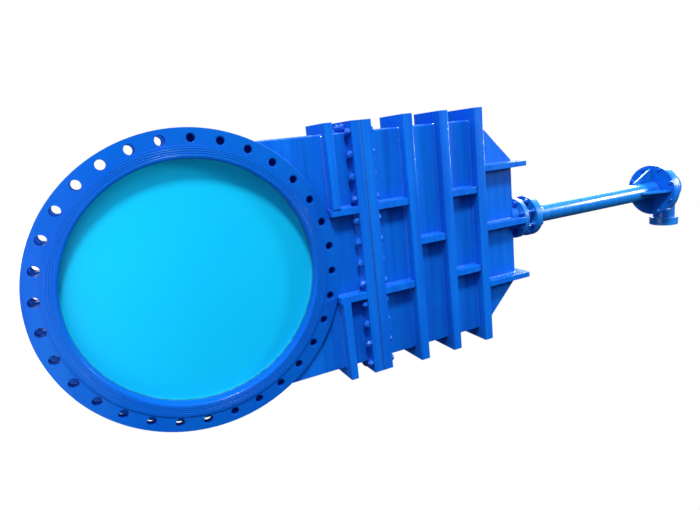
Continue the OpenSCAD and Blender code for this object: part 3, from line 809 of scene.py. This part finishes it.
# %% Beads of the upper hoop, the cross ribs, the saddle ends and the plate corners
upper_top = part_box("hoop_rib_upper")[1].z
for face in (FRONT, BACK):
    bead_paths.append([Vector((-SIDE, face, upper_top)), Vector((SIDE, face, upper_top))])
for low, high in solids("body_cross_ribs"):
    inner = low.x if low.x > 0 else high.x
    outer = math.copysign(SIDE, inner)
    for level in (low.z, high.z):
        for face in (FRONT, BACK):
            bead_paths.append([Vector((inner, face, level)), Vector((outer, face, level))])
        bead_paths.append([Vector((outer, FRONT, level)), Vector((outer, BACK, level))])
for low, high in solids("saddle_gussets"):
    for x in (low.x, high.x):
        bead_paths.append([Vector((x, FRONT, chest_high.z)), Vector((x, BACK, chest_high.z))])

shoulder = max(vertex.co.z for vertex in frame["nodes"]["chest_front_plate"].data.vertices
               if abs(vertex.co.x - SIDE) < MM)
end_half = max(vertex.co.x for vertex in frame["nodes"]["chest_front_plate"].data.vertices
               if abs(vertex.co.z - chest_high.z) < MM)
for y in (chest_high.y, back_low.y):
    for hand in (-1, 1):
        bead_paths.append([
            Vector((hand * SIDE, y, chest_low.z)), Vector((hand * SIDE, y, shoulder)),
            Vector((hand * end_half, y, chest_high.z)), Vector((0, y, chest_high.z))])
        bead_paths.append([Vector((hand * SIDE, y, body_high.z - BODY_CORNER_LENGTH)),
                           Vector((hand * SIDE, y, body_high.z))])

beads = bmesh.new()
for path in bead_paths:
    lay_bead(beads, path, PLATE_BEAD)
plate_welds = piece_from(beads, "plate_welds", "front_body_plate", [], WELD_BLUE)
print("beads laid:", len(bead_paths), "with", len(plate_welds.data.vertices), "points")

# %% [markdown]
# The flange rings are welded to the body along an arc, and the tube along circles. An
# arc is a path of short stretches, so the same bead runs round it.

# %% Round beads
def arc(centre, radius, plane, start, end, count):
    """Points on an arc in the XZ plane ('y') or the XY plane ('z'), in degrees."""
    points = []
    for step in range(count + 1):
        angle = math.radians(start + (end - start) * step / count)
        across, up = radius * math.sin(angle), radius * math.cos(angle)
        offset = Vector((across, 0, up)) if plane == "y" else Vector((across, up, 0))
        points.append(Vector(centre) + offset)
    return points


def lay_round_bead(work, points, radius):
    """One continuous rippled bead along many short stretches."""
    rings = []
    closed = (points[0] - points[-1]).length < MM
    for step, point in enumerate(points):
        before = points[step - 1] if step else points[-2 if closed else 0]
        at_end = step == len(points) - 1
        after = points[1 if closed else -1] if at_end else points[step + 1]
        along = (after - before).normalized()
        side = along.orthogonal().normalized()
        other = along.cross(side).normalized()
        size = radius * (1 + 0.14 * (step % 2))
        rings.append([point + (side * math.cos(angle) + other * math.sin(angle)) * size
                      for angle in (k * math.pi / 4 for k in range(8))])
    rings_to_mesh(work, rings)


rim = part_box("front_flange_ring")[1].x
tube_low, tube_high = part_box("column_tube")
tube_r = tube_high.x
tube_axis_y = (tube_low.y + tube_high.y) / 2
reach = math.degrees(math.asin(SIDE / rim))
round_beads = bmesh.new()
for face in (FRONT, BACK):
    lay_round_bead(round_beads, arc((0, face, 0), rim, "y", -reach, reach, 440), RING_BEAD)
for level, radius in ((tube_low.z, tube_r), (tube_high.z, tube_r)):
    lay_round_bead(
        round_beads, arc((0, tube_axis_y, level), radius, "z", 0, 360, 120), TUBE_BEAD)
ring_welds = piece_from(round_beads, "ring_welds", "front_body_plate", [], WELD_BLUE)
print("round beads:", len(ring_welds.data.vertices), "points")

# %% [markdown]
# The turning tool left a few coarse ridges on each raised face. They are the same kind
# of ring, sunk until only a low crest stands out.

# %% Ridges of the raised faces
def lay_ridge(work, radius, face_y, outward, crest, height):
    count = 240
    rings = []
    for step in range(count):
        angle = step * 2 * math.pi / count
        spoke = Vector((math.sin(angle), 0, math.cos(angle)))
        rings.append([
            spoke * (radius + across * crest) + Vector((0, face_y + outward * lift * height, 0))
            for across, lift in ((-1, -0.2), (-0.45, 0.75), (0, 1), (0.45, 0.75), (1, -0.2))])
    rings.append(rings[0])
    rings_to_mesh(work, rings, closed_ends=False)
    bmesh.ops.remove_doubles(work, verts=work.verts, dist=0.001 * MM)


ridges = bmesh.new()
for radius in (618, 627, 638, 648):
    for face_y, outward in ((INLET_FACE, -1), (OUTLET_FACE, 1)):
        lay_ridge(ridges, radius * MM, face_y, outward, 2.2 * MM, 1.1 * MM)
ridge_set = piece_from(ridges, "turned_ridges", "front_flange_ring", [], FLANGE_BLUE)
print("ridges:", len(ridge_set.data.vertices), "points")

# %% [markdown]
# ## The drive screw
# Inside the column the screw has a trapezoidal thread of 12 mm pitch. The CAD screw is
# a plain cylinder, so this one replaces it: the same rings as the bolts' threads, with
# a flat crest and root.

# %% Threaded drive screw
def trapezoid_rings(radius, depth, pitch, low, high, count):
    rings = []
    rows = round((high - low) / pitch * 6)
    for row in range(rows + 1):
        height = low + (high - low) * row / rows

        def at(angle, height=height):
            phase = (height / pitch + angle / (2 * math.pi)) % 1.0
            flank = min(max((abs(phase * 2 - 1) - 0.32) / 0.36, 0.0), 1.0)
            return radius - depth * flank
        rings.append(round_ring(at, height, count))
    return rings


screw_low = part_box("drive_screw")[0]
collar_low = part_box("lower_thrust_bearing")[0].z
work = clean_copy("drive_screw")
for vertex in list(work.verts):
    if vertex.co.z < collar_low - 5 * MM:
        vertex.co.z = collar_low - 10 * MM
first = len(work.verts)
rings_to_mesh(work, trapezoid_rings(
    29.9 * MM, 5.5 * MM, 12 * MM, screw_low.z, collar_low - 9 * MM, 40))
moved(work, first, Matrix.Translation((0, tube_axis_y, 0)))
piece_from(work, "threaded_drive_screw", "drive_screw", ["drive_screw"])
print("screw thread from", round(screw_low.z, 3), "to", round(collar_low, 3))

# %% [markdown]
# ## Floor and light
# A plain pale floor lies under the flange. A round key light on the side of -X throws the
# bore's shadow on the gate. A second one beyond the gearbox lights the ends of the ribs,
# and a wide one behind the column draws the bright line along the tube. The room is
# bluish and brighter on the key light's side, so that the flanks of the ribs differ.

# %% Floor
floor_mesh = bpy.data.meshes.new("floor")
FLOOR_REACH = 1.1
floor_z = cad_box[0].z
corners = [(x, y, floor_z) for x, y in
           ((-FLOOR_REACH, -FLOOR_REACH), (FLOOR_REACH, -FLOOR_REACH),
            (FLOOR_REACH, FLOOR_REACH), (-FLOOR_REACH, FLOOR_REACH))]
floor_mesh.from_pydata(corners, [], [(0, 1, 2, 3)])
floor = bpy.data.objects.new("floor", floor_mesh)
bpy.context.collection.objects.link(floor)
floor_finish = Finish("pale_floor")
floor_tint = blend(floor_finish, noise(floor_finish, place(floor_finish), 0.8, 2.0) * 0.3,
                   rgb(0.58, 0.58, 0.59), rgb(0.62, 0.62, 0.62))
floor_mesh.materials.append(floor_finish.surface(
    {"Base Color": floor_tint}, Roughness=0.9, Emission_Strength=1.0,
    Emission_Color=rgb(1, 1, 1)))


# %% Lights
def softbox(name, at, towards, size, power, tint=(1, 1, 1)):
    data = bpy.data.lights.new(name, "AREA")
    data.shape = "DISK"
    data.size = size
    data.energy = power
    data.color = tint
    light = bpy.data.objects.new(name, data)
    bpy.context.collection.objects.link(light)
    light.location = at
    aim = Vector(towards) - Vector(at)
    light.rotation_mode = "QUATERNION"
    light.rotation_quaternion = aim.to_track_quat("-Z", "Y")
    return light


softbox("key_light", (-5.6, -2.9, 0.15), (0, 0, 0.7), 1.1, 400)
softbox("end_light", (-1.2, -2.4, 6.2), (0, 0, 1.4), 1.2, 180)
softbox("column_light", (-1.9, 1.7, 5.4), (0, 0.1, 2.6), 3.2, 260)

# %% Room
BRIGHT_SIDE = Vector((-0.98, 0.05, -0.05))
world = bpy.data.worlds.new("room")
bpy.context.scene.world = world
world.use_nodes = True
room = world.node_tree
room.nodes.clear()
direction = room.nodes.new("ShaderNodeTexCoord")
towards = room.nodes.new("ShaderNodeVectorMath")
towards.operation = "DOT_PRODUCT"
towards.inputs[1].default_value = BRIGHT_SIDE
room.links.new(direction.outputs["Generated"], towards.inputs[0])
level = room.nodes.new("ShaderNodeMapRange")
level.interpolation_type = "SMOOTHSTEP"
level.inputs["From Min"].default_value = 0.15
level.inputs["From Max"].default_value = 1.0
level.inputs["To Min"].default_value = 0.07
level.inputs["To Max"].default_value = 2.5
room.links.new(towards.outputs["Value"], level.inputs["Value"])
shade = room.nodes.new("ShaderNodeBackground")
room.links.new(level.outputs[0], shade.inputs["Strength"])
shade.inputs["Color"].default_value = rgb(0.38, 0.6, 1.0)
backdrop = room.nodes.new("ShaderNodeBackground")
backdrop.inputs["Color"].default_value = rgb(1, 1, 1)
rays = room.nodes.new("ShaderNodeLightPath")
either = room.nodes.new("ShaderNodeMixShader")
room.links.new(rays.outputs["Is Camera Ray"], either.inputs[0])
room.links.new(shade.outputs[0], either.inputs[1])
room.links.new(backdrop.outputs[0], either.inputs[2])
sky_out = room.nodes.new("ShaderNodeOutputWorld")
room.links.new(either.outputs[0], sky_out.inputs["Surface"])
bpy.context.scene.view_settings.view_transform = "Standard"
